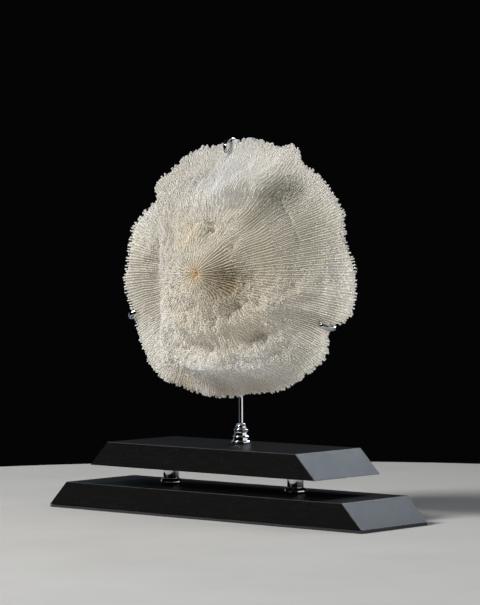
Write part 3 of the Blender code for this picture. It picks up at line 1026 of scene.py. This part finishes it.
def smooth_route(points, steps=12):
    """Catmull-Rom curve through points, each a pair of numbers."""
    points = np.array(points, float)
    ends = np.vstack([points[:1], points, points[-1:]])
    t = (np.arange(steps) / steps)[:, None]
    pieces = [
        0.5 * (2 * b + (c - a) * t + (2 * a - 5 * b + 4 * c - d) * t * t + (3 * b - a - 3 * c + d) * t ** 3)
        for a, b, c, d in zip(ends, ends[1:], ends[2:], ends[3:])
    ]
    return np.vstack(pieces + [points[-1:]])


def claw_route(angle):
    """The claw's mid-line, as distances out from the hub and places front to back."""
    reach = rim_reach(angle)
    tip = reach - HOOK_LENGTH
    face = float(front_height(*from_mouth(angle, tip), fine=False))
    tip_y = RIM_Y - face - HOOK_CLEARANCE - HALF_THICKNESS
    bend = (
        (reach - 9, ARM_Y), (reach - 2, ARM_Y - 0.1), (reach + 1.2, ARM_Y - 1.8),
        (reach + 1.95, ARM_Y - 5.0), (reach + 0.8, tip_y + 1.6), (reach - 3.2, tip_y - 1.5),
        (tip, tip_y),
    )
    return np.vstack([[(ARM_START, ARM_Y)], smooth_route(bend)])


for name, angle in CLAW_ANGLES.items():
    print(name, "reaches", round(float(rim_reach(angle)), 1), "mm from the hub")

# %% Claws
# Length of each round end, and of the bend with its hook, where the rings lie closer
END_ROUND = 0.8
BEND_LENGTH = 27


def strip_points(unit, route):
    """Where a sphere's points go: out from the hub, front to back, and across."""
    length = np.concatenate([[0], np.cumsum(np.linalg.norm(np.diff(route, axis=0), axis=1))])
    total = length[-1]
    share = np.arccos(np.clip(unit[:, 2], -1, 1)) / np.pi
    stops = (0, END_ROUND, total - BEND_LENGTH, total - END_ROUND, total)
    along = np.interp(share, (0, 0.05, 0.1, 0.95, 1), stops)
    place, ahead, behind = (
        np.stack([np.interp(along + shift, length, route[:, k]) for k in (0, 1)], axis=-1)
        for shift in (0, 0.2, -0.2)
    )
    heading = ahead - behind
    heading /= np.linalg.norm(heading, axis=1, keepdims=True)
    from_end = np.clip(np.minimum(along, total - along) / END_ROUND, 0, 1)
    full = np.sqrt(1 - (1 - from_end) ** 2)
    turn = np.arctan2(unit[:, 1], unit[:, 0])
    wide = np.sign(np.cos(turn)) * np.abs(np.cos(turn)) ** 0.6 * HALF_WIDTH * (0.5 + 0.5 * full)
    thick = np.sign(np.sin(turn)) * np.abs(np.sin(turn)) ** 0.8 * HALF_THICKNESS * full
    out = place[:, 0] - heading[:, 1] * thick
    y = place[:, 1] + heading[:, 0] * thick
    return out, y, wide * (full > 0)


def add_claw(name, angle):
    bpy.ops.object.select_all(action="DESELECT")
    bpy.ops.mesh.primitive_uv_sphere_add(segments=24, ring_count=72, radius=1)
    claw = bpy.context.object
    claw.name = name
    out, y, wide = strip_points(points_of(claw), claw_route(angle))
    a = math.radians(angle)
    x = out * math.cos(a) - wide * math.sin(a)
    z = out * math.sin(a) + wide * math.cos(a) + HUB_Z
    place_points(claw, np.stack([x, y, z], axis=-1) * MM)
    only(claw)
    bpy.ops.object.mode_set(mode="EDIT")
    bpy.ops.mesh.select_all(action="SELECT")
    bpy.ops.mesh.normals_make_consistent(inside=False)
    bpy.ops.object.mode_set(mode="OBJECT")
    bpy.ops.object.shade_smooth()
    return claw


for name, angle in CLAW_ANGLES.items():
    claw = add_claw("bent_" + name, angle)
    dress(claw, chrome, [name])

# %% Finishes on the CAD nodes that stay
for name, finish in (
    ("rod", chrome), ("upper_board", upper_wood), ("lower_board", lower_wood), ("base_pad", felt),
):
    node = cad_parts[name]
    node.data.materials.clear()
    node.data.materials.append(finish)
print("finishes given to the CAD nodes")

# %% [markdown]
# ## Floor and light
# The photograph has one large soft light from the upper left, one behind and
# above that shines on the slanted ends of the boards, and a wide one at the
# right that shows as a bright patch in the chrome. A weak fill in front opens
# the shadows, and a faint glow from the left draws the chrome's other edge. All
# else is dark, so the white skeleton stands out. The floor is plain and pale.

# %% Floor
FLOOR_RADIUS = 0.55
FLOOR_THICKNESS = 0.02
bpy.ops.object.select_all(action="DESELECT")
bpy.ops.mesh.primitive_cylinder_add(
    vertices=128, radius=FLOOR_RADIUS, depth=FLOOR_THICKNESS, location=(0.06, -0.06, -FLOOR_THICKNESS / 2)
)
floor = bpy.context.object
floor.name = "pale_floor"
floor_finish = Finish("pale floor", Roughness=0.8, Specular_IOR_Level=0.1)
cloudy = floor_finish.grain(9, 4)
floor_finish.set(Base_Color=floor_finish.ramp(cloudy, (0.3, (0.74, 0.73, 0.71)), (0.7, (0.80, 0.79, 0.77))))
floor.data.materials.append(floor_finish.material)
print("floor", tuple(round(v, 2) for v in floor.dimensions))

# %% Lights
NEARLY_BLACK = (0.0015, 0.0015, 0.0018, 1)


def add_light(name, place, aim, power, size, tall=None, colour=(1, 1, 1)):
    bpy.ops.object.light_add(type="AREA", location=place)
    light = bpy.context.object
    light.name = name
    light.data.energy = power
    light.data.color = colour
    light.data.shape = "RECTANGLE"
    light.data.size = size
    light.data.size_y = tall or size
    light.visible_camera = False
    facing = Vector(aim) - Vector(place)
    light.rotation_euler = facing.to_track_quat("-Z", "Y").to_euler()
    return light


target = (0, 0, 0.15)
add_light("key", (-0.75, -1.35, 1.3), target, 31, 0.5, colour=(1, 0.995, 0.985))
behind = add_light("behind", (0.05, 1.2, 1.15), target, 32, 0.9, 0.6, colour=(0.8, 0.9, 1))
behind.visible_diffuse = False
add_light("right", (1.33, 0.4, 0.4), (0, 0, 0.4), 11, 2.2, 1.2, colour=(0.95, 0.97, 1))
fill = add_light("fill", (0.5, -1.8, 0.15), target, 7, 0.7)
fill.visible_glossy = False
glow = add_light("glow on the chrome", (-1.3, 0.5, 0.3), target, 1.6, 0.9, colour=(0.6, 0.8, 1))
glow.visible_diffuse = False
world = bpy.data.worlds.new("dark studio")
bpy.context.scene.world = world
world.use_nodes = True
world.node_tree.nodes["Background"].inputs["Color"].default_value = NEARLY_BLACK
bpy.context.scene.view_settings.view_transform = "Standard"
